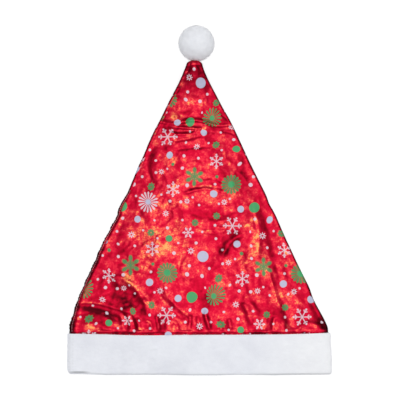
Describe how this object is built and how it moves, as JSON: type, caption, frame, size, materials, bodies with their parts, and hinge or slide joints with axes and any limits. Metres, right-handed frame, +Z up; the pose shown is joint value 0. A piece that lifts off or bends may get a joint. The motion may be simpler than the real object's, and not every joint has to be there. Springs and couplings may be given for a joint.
{
  "type": "party hat",
  "caption": "Soft pointed party hat of red foil cloth with a white plush brim and a pompom, lying flat on its back; hollow and open at the mouth.",
  "frame": {"origin": "on the surface that the hat lies on, under the middle of its outline", "axes": "+Y from the mouth to the tip, +Z up out of the surface, +X to the right as seen from above with the tip pointing away"},
  "size_m": [0.2912, 0.3836, 0.0396],
  "materials": {
    "foil_cloth": "metallic foil, printed",
    "plush_band": "short brushed pile",
    "plush_ball": "cut pile"
  },
  "bodies": {
    "root": {"crown": "foil_cloth", "brim": "plush_band", "pompom": "plush_ball"}
  },
  "joints": []
}
